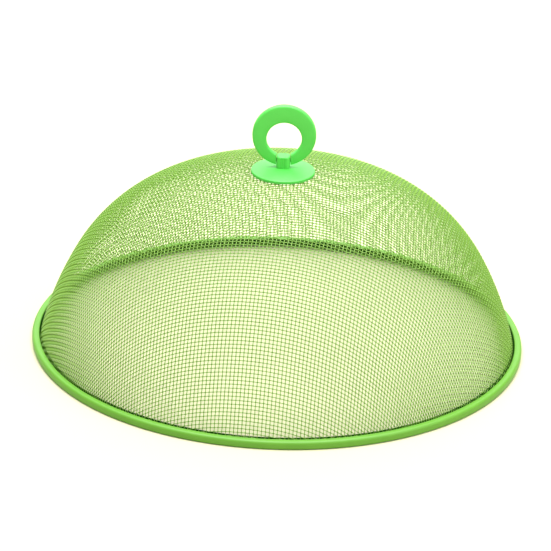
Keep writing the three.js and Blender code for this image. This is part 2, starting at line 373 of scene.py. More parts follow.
def add_ripple(
    tree: bpy.types.NodeTree, shader: bpy.types.Node, width: float, height: float, strength: float
) -> None:
    """Adds a fine ripple to the surface.

    Args:
        tree: The material's node tree.
        shader: Its Principled shader.
        width: The width of one ripple, in metres.
        height: The ripple's height, in metres.
        strength: How much of the ripple shows, from 0 to 1.
    """
    coords = add_node(tree, "ShaderNodeTexCoord").outputs["Object"]
    grain = {"Scale": 1 / width, "Detail": 1.0}
    noise = add_node(tree, "ShaderNodeTexNoise", {"Vector": coords}, inputs=grain)
    depth = {"Strength": strength, "Distance": height}
    bump = add_node(tree, "ShaderNodeBump", {"Height": noise.outputs["Fac"]}, inputs=depth)
    tree.links.new(bump.outputs["Normal"], shader.inputs["Normal"])


@dataclass(frozen=True)
class EnamelledWire:
    """Dipped enamel on drawn steel wire: glossy, and darker at the crossings, partly where enamel collects
    and partly as painted shade where the wires cross.
    """

    dark: str = "79a73a"
    light: str = "8ab64b"
    # The darker colour at the crossings, partly enamel that collects there and partly painted shade.
    pooled_and_shaded: str = "517f18"
    pool_and_shade_start: float = 0.3
    patch: float = 1.4 * MM
    roughness: float = 0.38

    def build(self) -> bpy.types.Material:
        """Returns the material."""
        material, tree, shader = new_material("dipped_enamel_on_wire")
        coords = add_node(tree, "ShaderNodeTexCoord").outputs["Object"]
        # The enamel's depth changes along each wire, which the eye sees as light and dark stretches.
        thin = mottled_colour(tree, coords, self.patch, self.dark, self.light)
        # Towards each crossing the colour darkens, partly for enamel that collects there and partly as
        # painted shade.
        depth = add_node(tree, "ShaderNodeAttribute", attribute_name=POOLED_AND_SHADED).outputs["Fac"]
        pool_and_shade = add_node(
            tree,
            "ShaderNodeMapRange",
            {"Value": depth},
            interpolation_type="SMOOTHSTEP",
            inputs={"From Min": self.pool_and_shade_start},
        )
        links, pool_and_shade_colour = {0: pool_and_shade.outputs["Result"], 6: thin}, {7: linear_colour(self.pooled_and_shaded)}
        mix = add_node(tree, "ShaderNodeMix", links, data_type="RGBA", inputs=pool_and_shade_colour)
        tree.links.new(mix.outputs[2], shader.inputs["Base Color"])
        shader.inputs["Roughness"].default_value = self.roughness
        return material


@dataclass(frozen=True)
class PaintedShadeSkin:
    """A dark skin that fills the meshes at the cloth's edge: painted shade standing for the shade inside
    the rim's channel.
    """

    dark: str = "083f03"
    light: str = "0d4706"
    patch: float = 2.0 * MM
    roughness: float = 0.5
    gloss: float = 0.1

    def build(self) -> bpy.types.Material:
        """Returns the material."""
        look = (self.dark, self.light, self.patch, self.roughness)
        material, _, shader = mottled_material("painted_shade_skin", *look)
        # Its reflection is turned down so that the painted shade stays dark.
        shader.inputs["Specular IOR Level"].default_value = self.gloss
        return material


@dataclass(frozen=True)
class PowderCoat:
    """Baked powder coat on rolled steel: an even gloss over a faint orange-peel ripple."""

    dark: str = "559120"
    light: str = "5e9a26"
    patch: float = 9.0 * MM
    ripple: float = 0.9 * MM
    ripple_height: float = 0.012 * MM
    ripple_strength: float = 0.6
    roughness: float = 0.5

    def build(self) -> bpy.types.Material:
        """Returns the material."""
        look = (self.dark, self.light, self.patch, self.roughness)
        material, tree, shader = mottled_material("powder_coat_on_rolled_steel", *look)
        # Orange peel is drawn about twice as coarse as real, so that it shows from a step away.
        add_ripple(tree, shader, self.ripple, self.ripple_height, self.ripple_strength)
        return material


@dataclass(frozen=True)
class MouldedPolypropylene:
    """Injection-moulded polypropylene: waxy, slightly translucent, with a soft broad sheen."""

    dark: str = "44c340"
    light: str = "4dc948"
    patch: float = 6.0 * MM
    ripple: float = 0.7 * MM
    ripple_height: float = 0.01 * MM
    ripple_strength: float = 0.5
    roughness: float = 0.5
    refraction: float = 1.49
    gloss: float = 0.85
    depth: float = 0.9 * MM
    depth_share: float = 0.12
    depth_shares_by_colour: tuple[float, float, float] = (0.5, 1.0, 0.4)

    def build(self) -> bpy.types.Material:
        """Returns the material."""
        look = (self.dark, self.light, self.patch, self.roughness)
        material, tree, shader = mottled_material("moulded_polypropylene", *look)
        add_ripple(tree, shader, self.ripple, self.ripple_height, self.ripple_strength)
        shader.inputs["IOR"].default_value = self.refraction
        shader.inputs["Specular IOR Level"].default_value = self.gloss
        shader.inputs["Subsurface Weight"].default_value = self.depth_share
        shader.inputs["Subsurface Radius"].default_value = self.depth_shares_by_colour
        shader.inputs["Subsurface Scale"].default_value = self.depth
        return material


@dataclass(frozen=True)
class ZincPlate:
    """Bright zinc plate on steel: a cool metal with a fine cloudy bloom."""

    dark: str = "a9adb3"
    light: str = "cdd0d4"
    patch: float = 1.2 * MM
    roughness: float = 0.28

    def build(self) -> bpy.types.Material:
        """Returns the material."""
        look = (self.dark, self.light, self.patch, self.roughness)
        material, _, shader = mottled_material("bright_zinc_plate", *look)
        shader.inputs["Metallic"].default_value = 1.0
        return material


def dress(
    obj: bpy.types.Object, finish: bpy.types.Material, body: Body, slot: Slot, *nodes: str
) -> bpy.types.Object:
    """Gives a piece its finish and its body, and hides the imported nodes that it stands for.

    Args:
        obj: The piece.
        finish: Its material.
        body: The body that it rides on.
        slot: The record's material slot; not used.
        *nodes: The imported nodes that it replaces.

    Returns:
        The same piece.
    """
    obj.data.materials.clear()
    obj.data.materials.append(finish)
    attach(obj, body.value)
    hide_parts(*nodes)
    return obj


# The dome


@dataclass
class Meridian:
    """The line that the cloth follows from the crown to the end of its hem.

    It is a three-centred arch, then a straight skirt, then a hem that turns out round the hoop.
    """

    foot_radius: float = 168.4 * MM
    foot_height: float = 6.1 * MM
    crown_height: float = 130.9 * MM
    cloth_thickness: float = 1.0 * MM
    hoop_radius: float = 1.25 * MM
    rim_sheet: float = 0.8 * MM
    arc_radius_shares: tuple[float, ...] = (1.356, 0.724, 1.386)
    arc_end_degrees: tuple[float, ...] = (22.0, 61.0, 75.4)
    hem_end_degrees: float = -45.0
    points: np.ndarray = field(init=False)
    lengths: np.ndarray = field(init=False)
    hoop_centre: np.ndarray = field(init=False)
    skirt_end_length: float = field(init=False)

    def __post_init__(self) -> None:
        """Works out the middle line of the cloth's thickness, and the length along it."""
        arch = self._arch()
        wall = math.radians(self.arc_end_degrees[-1])
        down = np.array([math.cos(wall), -math.sin(wall)])
        out = np.array([-down[1], down[0]])
        reach = self.hoop_radius + self.cloth_thickness / 2
        hoop_height = self.rim_sheet + self.cloth_thickness + self.hoop_radius
        skirt = (arch[-1][1] + out[1] * reach - hoop_height) / -down[1]
        skirt_end = arch[-1] + down * skirt
        self.hoop_centre = skirt_end + out * reach
        start = math.atan2(-out[1], -out[0]) % FULL_TURN
        end = FULL_TURN + math.radians(self.hem_end_degrees)
        turns = np.linspace(start, end, 24)[1:]
        hem = self.hoop_centre + reach * np.c_[np.cos(turns), np.sin(turns)]
        skirt_line = arch[-1] + np.outer(np.linspace(0, 1, 8)[1:], skirt_end - arch[-1])
        self.points = np.vstack([arch, skirt_line, hem])
        steps = np.hypot(*np.diff(self.points, axis=0).T)
        self.lengths = np.r_[0, np.cumsum(steps)]
        self.skirt_end_length = float(self.lengths[len(arch) + len(skirt_line) - 1])

    def _arch(self) -> np.ndarray:
        """Returns the arch's middle line, from the crown to the foot."""
        shares, ends = self.arc_radius_shares, np.radians(self.arc_end_degrees)
        unit, start = [np.array([0.0, 0.0])], 0.0
        for share, end in zip(shares, ends):
            angles = np.linspace(start, end, 160)[1:]
            step = share * np.c_[np.sin(angles) - math.sin(start), math.cos(start) - np.cos(angles)]
            unit.extend(unit[-1] + step)
            start = end
        unit = np.array(unit)
        scale = np.array([self.foot_radius, self.crown_height - self.foot_height]) / unit[-1]
        outer = np.c_[unit[:, 0] * scale[0], self.crown_height - unit[:, 1] * scale[1]]
        along = np.gradient(outer, axis=0)
        along /= np.hypot(*along.T)[:, None]
        return outer + 0.5 * self.cloth_thickness * np.c_[along[:, 1], -along[:, 0]]

    def at(self, length: np.ndarray) -> tuple[np.ndarray, np.ndarray]:
        """Returns radius and height at each length along the meridian."""
        return (
            np.interp(length, self.lengths, self.points[:, 0]),
            np.interp(length, self.lengths, self.points[:, 1]),
        )

    def slope_at(self, length: np.ndarray) -> tuple[np.ndarray, np.ndarray]:
        """Returns how radius and height change per length along the meridian."""
        rates = np.gradient(self.points, self.lengths, axis=0)
        return (
            np.interp(length, self.lengths, rates[:, 0]),
            np.interp(length, self.lengths, rates[:, 1]),
        )

    def outer_height_at(self, radius: float) -> float:
        """Returns the height of the cloth's outer face at a radius near the crown."""
        return float(np.interp(radius, self.points[:, 0], self.points[:, 1])) + self.cloth_thickness / 2

    @property
    def end_length(self) -> float:
        """The length from the crown to the end of the hem."""
        return float(self.lengths[-1])


@dataclass
class WovenDome:
    """The dome of plain-woven wire cloth.

    The cloth is a net of equal steps: it shears but its wires don't stretch, as when flat cloth is drawn
    over a form. Its two middle wires would cross at the crown, where the screw parts them.
    """

    meridian: Meridian
    finish: bpy.types.Material
    # The dark material of painted shade for the cloth's edge inside the rim's channel.
    shade_skin: bpy.types.Material
    pitch: float = 2.7 * MM
    wire_diameter: float = 0.55 * MM
    knot_share: float = 1.18
    waist_share: float = 0.94
    weave_turn_degrees: float = -7.5
    hem_step: float = 0.9 * MM
    least_slope: float = 0.15
    sides: int = 6
    # Where the skin of painted shade ends above the rim, its thickness and its facets round the axis.
    shade_skin_top: float = 6.0 * MM
    shade_skin_thickness: float = 0.3 * MM
    shade_skin_steps: int = 256
    pieces_per_run: int = 3
    newton_rounds: int = 8

    def _place(self, length: np.ndarray, azimuth: np.ndarray) -> np.ndarray:
        """Returns points on the cloth's middle surface."""
        radius, height = self.meridian.at(length)
        return np.stack([radius * np.cos(azimuth), radius * np.sin(azimuth), height], axis=-1)

    def _normal(self, length: np.ndarray, azimuth: np.ndarray) -> np.ndarray:
        """Returns the outward normals of the cloth's middle surface."""
        out, down = self.meridian.slope_at(length)
        return np.stack([-down * np.cos(azimuth), -down * np.sin(azimuth), out], axis=-1)

    def _quarter(self) -> tuple[np.ndarray, np.ndarray]:
        """Lays out a quarter of the net, one diagonal of crossings after another.

        Returns:
            The length from the crown and the azimuth of each crossing, with nan past the foot.
        """
        limit = self.meridian.skirt_end_length
        count = int(limit / self.pitch) + 1
        length = np.full((count, count), np.nan)
        azimuth = np.full((count, count), np.nan)
        length[:, 0] = length[0, :] = np.arange(count) * self.pitch
        azimuth[:, 0], azimuth[0, :] = 0.0, math.pi / 2
        for diagonal in range(2, 2 * count - 1):
            i = np.arange(max(1, diagonal - count + 1), min(diagonal, count))
            j = diagonal - i
            known = ~np.isnan(length[i - 1, j]) & ~np.isnan(length[i, j - 1])
            i, j = i[known], j[known]
            if not len(i):
                break
            s, a = self._next_crossings(length, azimuth, i, j)
            s[s > limit] = np.nan
            length[i, j], azimuth[i, j] = s, a
        return length, azimuth

    def _next_crossings(
        self, length: np.ndarray, azimuth: np.ndarray, i: np.ndarray, j: np.ndarray
    ) -> tuple[np.ndarray, np.ndarray]:
        """Finds the crossings one step from both of their neighbours, by Newton's method.

        Args:
            length: Lengths found so far.
            azimuth: Azimuths found so far.
            i: The first index of each crossing.
            j: The second index of each crossing.

        Returns:
            The length and azimuth of each crossing.
        """
        beside = self._place(length[i - 1, j], azimuth[i - 1, j])
        below = self._place(length[i, j - 1], azimuth[i, j - 1])
        behind = self._place(length[i - 1, j - 1], azimuth[i - 1, j - 1])
        guess = beside + below - behind
        s = length[i - 1, j] + length[i, j - 1] - length[i - 1, j - 1]
        a = np.arctan2(guess[:, 1], guess[:, 0])
        for _ in range(self.newton_rounds):
            here = self._place(s, a)
            radius, _ = self.meridian.at(s)
            out, down = self.meridian.slope_at(s)
            along = np.stack([out * np.cos(a), out * np.sin(a), down], axis=-1)
            around = np.stack([-radius * np.sin(a), radius * np.cos(a), 0 * a], axis=-1)
            e1, e2 = here - beside, here - below
            f1 = (e1**2).sum(-1) - self.pitch**2
            f2 = (e2**2).sum(-1) - self.pitch**2
            m11, m12 = 2 * (e1 * along).sum(-1), 2 * (e1 * around).sum(-1)
            m21, m22 = 2 * (e2 * along).sum(-1), 2 * (e2 * around).sum(-1)
            det = m11 * m22 - m12 * m21
            s = s - (f1 * m22 - f2 * m12) / det
            a = a - (m11 * f2 - m21 * f1) / det
        return s, a

    def _wires(self, run: Run, number: int, quarter: tuple[np.ndarray, np.ndarray]) -> list[np.ndarray]:
        """Traces one wire from hem to hem, or its two halves where the screw parts it.

        Args:
            run: Warp or weft.
            number: The wire's number, counted from the middle wire.
            quarter: The quarter net.

        Returns:
            The rows of each stretch, as _rows gives them.
        """
        length, azimuth = quarter if run is Run.WARP else (quarter[0].T, quarter[1].T)
        column = length[:, abs(number)]
        reach = int(np.count_nonzero(~np.isnan(column))) - 1
        if reach < 2:
            return []
        if number:
            return [self._stretch(run, number, np.arange(-reach, reach + 1), length, azimuth, (True, True))]
        return [
            self._stretch(run, number, np.arange(-reach, 0), length, azimuth, (True, False)),
            self._stretch(run, number, np.arange(1, reach + 1), length, azimuth, (False, True)),
        ]

    def _stretch(
        self,
        run: Run,
        number: int,
        steps: np.ndarray,
        length: np.ndarray,
        azimuth: np.ndarray,
        hemmed: tuple[bool, bool],
    ) -> np.ndarray:
        """Draws one stretch of wire, over and under, thick at the crossings and thin between them.

        Args:
            run: Warp or weft.
            number: The wire's number.
            steps: The numbers of the wires that it crosses.
            length: Lengths of the crossings, with this wire's run first.
            azimuth: Azimuths of the crossings, with this wire's run first.
            hemmed: Whether its first and last ends go on round the hem.

        Returns:
            Its rows, as _rows gives them.
        """
        s = length[np.abs(steps), abs(number)]
        a = azimuth[np.abs(steps), abs(number)]
        a = np.where(steps < 0, (math.pi if run is Run.WARP else 0.0) - a, a)
        if number < 0:
            a = -a if run is Run.WARP else math.pi - a
        a = np.unwrap(a) + math.radians(self.weave_turn_degrees)
        side = np.where((steps + number) % 2 == 0, 1.0, -1.0) * (1 if run is Run.WARP else -1)
        fine, whole = np.arange(0, len(steps) - 0.75, 0.5), np.arange(len(steps))
        s_fine, a_fine, lift = (np.interp(fine, whole, values) for values in (s, a, side))
        line = self._rows(s_fine, a_fine, lift, fine % 1 == 0)
        head = self._hem_end(s[1], a[1], s[0], a[0])[::-1] if hemmed[0] else line[:0]
        tail = self._hem_end(s[-2], a[-2], s[-1], a[-1]) if hemmed[1] else line[:0]
        return np.vstack([head, line, tail])

    def _rows(self, s: np.ndarray, a: np.ndarray, lift: np.ndarray, knot: np.ndarray) -> np.ndarray:
        """Gathers what is known at each point of a wire.

        Args:
            s: Lengths along the meridian.
            a: Azimuths.
            lift: The wire's side of the middle surface, 1 outside and -1 inside.
            knot: Where another wire crosses it.

        Returns:
            One row for each point: the place, the cloth's outward normal, the wire's radius and how far the
                colour darkens there, for enamel that collects and painted shade at the crossings.
        """
        normals = self._normal(s, a)
        places = self._place(s, a) + normals * (lift * self.wire_diameter / 2)[:, None]
        radii = np.where(knot, self.knot_share, self.waist_share) * self.wire_diameter / 2
        return np.c_[places, normals, radii, knot]

    def _hem_end(self, s1: float, a1: float, s2: float, a2: float) -> np.ndarray:
        """Carries a wire on past its last crossing, down the skirt and round the hem.

        Args:
            s1: Length at the last crossing but one.
            a1: Azimuth there.
            s2: Length at the last crossing.
            a2: Azimuth there.

        Returns:
            The further rows, none where the wire runs almost level.
        """
        radius = float(self.meridian.at(s2)[0])
        down, around = s2 - s1, radius * (a2 - a1)
        level = down < self.least_slope * math.hypot(down, around)
        left = self.meridian.end_length - s2
        count = 0 if level else max(2, math.ceil(left / self.hem_step))
        s = s2 + left * np.arange(1, count + 1) / max(count, 1)
        a = a2 + around * (s - s2) / (max(down, SAME) * self.meridian.at(s)[0])
        return self._rows(s, a, np.zeros(count), np.zeros(count, bool))

    def _tube(self, rows: np.ndarray) -> tuple[np.ndarray, np.ndarray]:
        """Makes one wire's skin: a ring of corners round each point, and closed ends.

        Args:
            rows: The wire's rows.

        Returns:
            The corners, and four corner numbers for each face.
        """
        along = np.gradient(rows[:, :3], axis=0)
        aside = np.cross(along, rows[:, 3:6])
        aside /= np.linalg.norm(aside, axis=1)[:, None]
        out = np.cross(aside, along)
        out /= np.linalg.norm(out, axis=1)[:, None]
        turns = FULL_TURN * np.arange(self.sides) / self.sides
        spokes = np.cos(turns)[:, None] * out[:, None] + np.sin(turns)[:, None] * aside[:, None]
        corners = rows[:, None, :3] + rows[:, None, 6:7] * spokes
        ring = np.arange(self.sides)
        beside = np.roll(ring, -1)
        first = np.stack([ring, beside, beside + self.sides, ring + self.sides], axis=-1)
        faces = (first + self.sides * np.arange(len(rows) - 1)[:, None, None]).reshape(-1, 4)
        half = np.arange(0, self.sides - 2, 2)
        cap = np.stack([0 * half, half + 1, half + 2, half + 3], axis=-1)
        last = self.sides * (len(rows) - 1)
        return corners.reshape(-1, 3), np.vstack([faces, cap[:, ::-1], cap + last])

    def _drawn(self, name: str, wires: list[np.ndarray]) -> bpy.types.Object:
        """Draws wires as round rods with closed ends.

        Args:
            name: The piece's name.
            wires: The rows of each wire.

        Returns:
            The mesh object.
        """
        corners, faces = zip(*(self._tube(rows) for rows in wires))
        starts = np.cumsum([0] + [len(part) for part in corners[:-1]])
        quads = np.vstack([part + start for part, start in zip(faces, starts)])
        mesh = bpy.data.meshes.new(name)
        mesh.vertices.add(sum(len(part) for part in corners))
        mesh.vertices.foreach_set("co", np.vstack(corners).ravel())
        mesh.loops.add(quads.size)
        mesh.loops.foreach_set("vertex_index", quads.ravel())
        mesh.polygons.add(len(quads))
        mesh.polygons.foreach_set("loop_start", np.arange(len(quads)) * 4)
        mesh.update(calc_edges=True)
        # Each point's share of the darker crossing colour: partly collected enamel, partly painted shade.
        pooled_and_shaded = mesh.attributes.new(POOLED_AND_SHADED, "FLOAT", "POINT")
        pooled_and_shaded.data.foreach_set("value", np.repeat(np.vstack(wires)[:, 7], self.sides))
        mesh.shade_smooth()
        return new_object(name, mesh)

    def _shade_skin(self) -> bpy.types.Object:
        """Makes the dark skin of painted shade that fills the meshes from just above the rim to the end of
        the hem.
        """
        start = float(np.interp(-self.shade_skin_top, -self.meridian.points[:, 1], self.meridian.lengths))
        lengths = np.linspace(start, self.meridian.end_length, 30)
        line = np.c_[self.meridian.at(lengths)]
        out, down = self.meridian.slope_at(lengths)
        aside = np.c_[-down, out] * self.shade_skin_thickness / 2
        outline = np.vstack([line + aside, (line - aside)[::-1]])
        bm = spun(section([tuple(corner) for corner in outline], {}), self.shade_skin_steps)
        return finished_piece("painted_shade_cloth_edge", bm, 50)

    def build(self) -> list[bpy.types.Object]:
        """Weaves the cloth.

        Returns:
            The pieces of cloth, each one holding neighbouring wires of one run.
        """
        quarter = self._quarter()
        count = quarter[0].shape[0]
        pieces = []
        for run in Run:
            numbers = range(1 - count, count)
            wires = [wire for number in numbers for wire in self._wires(run, number, quarter)]
            ends = np.cumsum([len(wire) for wire in wires])
            shares = (ends - 1) * self.pieces_per_run // ends[-1]
            for part in range(self.pieces_per_run):
                chosen = [wire for wire, share in zip(wires, shares) if share == part]
                cloth = self._drawn(f"cloth_{run.value}_{part + 1}", chosen)
                pieces.append(dress(cloth, self.finish, Body.COVER, Slot.CLOTH, "mesh_dome"))
        # The last piece is the skin of painted shade at the cloth's edge.
        pieces.append(dress(self._shade_skin(), self.shade_skin, Body.COVER, Slot.CLOTH, "mesh_dome"))
        return pieces


# The rim


@dataclass
class RolledRim:
    """The rolled sheet-steel rim, a channel open towards the axis, and the wire hoop that it grips."""

    meridian: Meridian
    coat: bpy.types.Material
    # The dark material of painted shade, which the hoop takes inside the channel.
    enamel: bpy.types.Material
    radius: float = 175.0 * MM
    height: float = 6.1 * MM
    width: float = 5.1 * MM
    sheet: float = 0.8 * MM
    corner_radius: float = 1.5 * MM
    top_corner_radius: float = 2.2 * MM
    edge_radius: float = 0.3 * MM
    lip_edge_radius: float = 0.7 * MM
    lip_sag: float = 0.25 * MM
    lip_sag_width: float = 1.7 * MM
    lip_crest_radius: float = 4.0 * MM
    steps: int = 256
    hoop_facets: int = 16

    def _band(self) -> bpy.types.Object:
        """Rolls the channel, with soft corners, eased edges and a lip that dips towards the axis."""
        lip = self.radius - self.width
        crest = lip + self.lip_sag_width
        wall, top = self.radius - self.sheet, self.height - self.sheet
        corners = [
            (lip, self.height - self.lip_sag),
            (crest, self.height),
            (self.radius, self.height),
            (self.radius, 0),
            (lip, 0),
            (lip, self.sheet),
            (wall, self.sheet),
            (wall, top),
            (crest, top),
            (lip, top - self.lip_sag),
        ]
        rounds = {0: self.lip_edge_radius, 1: self.lip_crest_radius}
        rounds |= {4: self.edge_radius, 5: self.edge_radius}
        rounds |= {2: self.top_corner_radius, 7: self.top_corner_radius - self.sheet}
        rounds |= {3: self.corner_radius, 6: self.corner_radius - self.sheet}
        band = finished_piece("rolled_rim", spun(section(corners, rounds), self.steps), 50)
        return dress(band, self.coat, Body.COVER, Slot.RIM, "rim_band")

    def _hoop(self) -> bpy.types.Object:
        """Bends the hoop from round wire, in the same dark painted shade as the cloth's edge inside the
        channel.
        """
        bm = bmesh.new()
        radius, height = self.meridian.hoop_centre
        place = Matrix.Translation((radius, 0, height)) @ Matrix.Rotation(math.pi / 2, 4, "X")
        size = self.meridian.hoop_radius
        bmesh.ops.create_circle(bm, segments=self.hoop_facets, radius=size, matrix=place)
        hoop = finished_piece("hem_hoop", spun(bm, self.steps))
        return dress(hoop, self.enamel, Body.COVER, Slot.CLOTH, "rim_hoop")

    def build(self) -> list[bpy.types.Object]:
        """Returns the band and the hoop."""
        return [self._band(), self._hoop()]


# The handle


@dataclass
class HandleBase:
    """The moulded handle base: a crowned disc with a square post, which carries the ring's pins."""

    meridian: Meridian
    finish: bpy.types.Material
    disc_radius: float = 22.4 * MM
    edge_height: float = 2.2 * MM
    edge_radius: float = 0.7 * MM
    crown: float = 2.3 * MM
    seat_gap: float = 0.3 * MM
    post_width: float = 9.6 * MM
    post_depth: float = 9.4 * MM
    post_height: float = 8.6 * MM
    post_corner_radius: float = 3.0 * MM
    post_top_radius: float = 0.9 * MM
    flute_pitch: float = 1.25 * MM
    flute_depth: float = 0.25 * MM
    flutes_per_face: int = 4
    socket_radius: float = 1.9 * MM
    socket_depth: float = 2.5 * MM
    bore_radius: float = 2.05 * MM
    bore_top: float = 137.252 * MM
    pivot_height: float = 139.752 * MM
    cap_points: int = 12
    steps: int = 128
    bore_steps: int = 32

    @property
    def edge_bottom(self) -> float:
        """The height of the disc's lower edge."""
        return self.meridian.outer_height_at(self.disc_radius) + self.seat_gap

    @property
    def disc_top(self) -> float:
        """The height of the disc's middle."""
        return self.edge_bottom + self.edge_height + self.crown

    def _disc(self) -> bmesh.types.BMesh:
        """Makes the disc: its underside follows the cloth and its top is a shallow cap."""
        cap_radius = (self.disc_radius**2 + self.crown**2) / (2 * self.crown)
        spread = math.asin(self.disc_radius / cap_radius)
        turns = [spread * k / self.cap_points for k in range(self.cap_points + 1)]
        cap = [(cap_radius * math.sin(t), self.disc_top - cap_radius * (1 - math.cos(t))) for t in turns]
        radii = [self.disc_radius * k / self.cap_points for k in range(self.cap_points, -1, -1)]
        underside = [(r, self.meridian.outer_height_at(r) + self.seat_gap) for r in radii]
        rounds = {self.cap_points: self.edge_radius, self.cap_points + 1: self.edge_radius / 3}
        return spun(section(cap + underside, rounds), self.steps)

    def _post(self) -> bmesh.types.BMesh:
        """Makes the post, rooted in the disc, with soft corners and shallow flutes front and back."""
        root = self.edge_bottom + self.edge_height
        top = self.disc_top + self.post_height
        size = (self.post_width, self.post_depth, top - root)
        bm = block(size, (0, 0, (top + root) / 2))
        upright = [e for e in bm.edges if abs(e.verts[0].co.z - e.verts[1].co.z) > self.post_height / 2]
        soften(bm, upright, self.post_corner_radius)
        crown = [e for e in bm.edges if min(v.co.z for v in e.verts) > top - NEAR]
        soften(bm, crown, self.post_top_radius)
        flutes = self.flutes_per_face
        for k in range(-2 * flutes, 2 * flutes + 1):
            everything = list(bm.verts) + list(bm.edges) + list(bm.faces)
            cut = (k * self.flute_pitch / 4, 0, 0)
            bmesh.ops.bisect_plane(bm, geom=everything, plane_co=cut, plane_no=(1, 0, 0))
        reach = self.flute_pitch * flutes / 2
        for vert in bm.verts:
            if abs(vert.co.y) > self.post_depth / 2 - NEAR and abs(vert.co.x) < reach:
                wave = (1 - math.cos(FULL_TURN * (vert.co.x + reach) / self.flute_pitch)) / 2
                vert.co.y -= math.copysign(self.flute_depth * wave, vert.co.y)
        return bm

    def build(self) -> list[bpy.types.Object]:
        """Returns the base in one piece."""
        base = joined(self._disc(), self._post(), Join.UNITE)
        for side in (-1, 1):
            mouth = side * (self.post_width / 2 + OVERRUN)
            end = side * (self.post_width / 2 - self.socket_depth)
            socket = crosswise_pin(self.socket_radius, mouth, end, self.pivot_height)
            base = joined(base, socket, Join.CUT)
        radius, foot, top = self.bore_radius, self.edge_bottom - OVERRUN, self.bore_top
        bore = spun(section([(0, foot), (radius, foot), (radius, top), (0, top)], {}), self.bore_steps)
        base = joined(base, bore, Join.CUT)
        piece = finished_piece("moulded_handle_base", base, 40)
        return [dress(piece, self.finish, Body.COVER, Slot.PLASTIC, "handle_base")]


@dataclass
class FingerRing:
    """The ring: a flat band round a hole that is set low, split at the post, with a pin on each end."""

    finish: bpy.types.Material
    radius: float = 22.4 * MM
    hole_radius: float = 12.35 * MM
    hole_drop: float = 2.75 * MM
    thickness: float = 5.0 * MM
    edge_radius: float = 1.3 * MM
    centre_height: float = 158.502 * MM
    pivot_height: float = 139.752 * MM
    end_face: float = 5.1 * MM
    pin_radius: float = 1.6 * MM
    pin_tip: float = 2.6 * MM
    pin_edge_radius: float = 0.35 * MM
    segments: int = 144

    def _body(self) -> bmesh.types.BMesh:
        """Makes the whole band with rounded edges."""
        bm = bmesh.new()
        front = self.thickness / 2
        for radius, drop in ((self.radius, 0), (self.hole_radius, self.hole_drop)):
            centre = (0, -front, self.centre_height - drop)
            place = Matrix.Translation(centre) @ Matrix.Rotation(math.pi / 2, 4, "X")
            bmesh.ops.create_circle(bm, segments=self.segments, radius=radius, matrix=place)
        made = bmesh.ops.bridge_loops(bm, edges=list(bm.edges))
        pushed = bmesh.ops.extrude_face_region(bm, geom=made["faces"], use_keep_orig=True)
        moved = [item for item in pushed["geom"] if isinstance(item, bmesh.types.BMVert)]
        bmesh.ops.translate(bm, verts=moved, vec=(0, self.thickness, 0))
        bmesh.ops.recalc_face_normals(bm, faces=bm.faces)
        sharp = [e for e in bm.edges if e.calc_face_angle(0) > math.radians(60)]
        soften(bm, sharp, self.edge_radius, 5)
        return bm

    def _pin(self, side: int) -> bmesh.types.BMesh:
        """Makes one pin, rooted in the band's end."""
        root, tip = side * (self.end_face + OVERRUN), side * self.pin_tip
        bm = crosswise_pin(self.pin_radius, root, tip, self.pivot_height)
        at_tip = [e for e in bm.edges if max(abs(v.co.x - tip) for v in e.verts) < NEAR]
        soften(bm, at_tip, self.pin_edge_radius)
        return bm

    def build(self) -> list[bpy.types.Object]:
        """Returns the ring in one piece."""
        hole_foot = self.centre_height - self.hole_drop - self.hole_radius
        foot = self.centre_height - self.radius
        size = (2 * self.end_face, 2 * self.thickness, hole_foot - foot + 2 * OVERRUN)
        ring = joined(self._body(), block(size, (0, 0, (hole_foot + foot) / 2)), Join.CUT)
        for side in (-1, 1):
            ring = joined(ring, self._pin(side), Join.UNITE)
        piece = finished_piece("folding_ring", ring, 40)
        return [dress(piece, self.finish, Body.RING, Slot.PLASTIC, "ring_handle")]


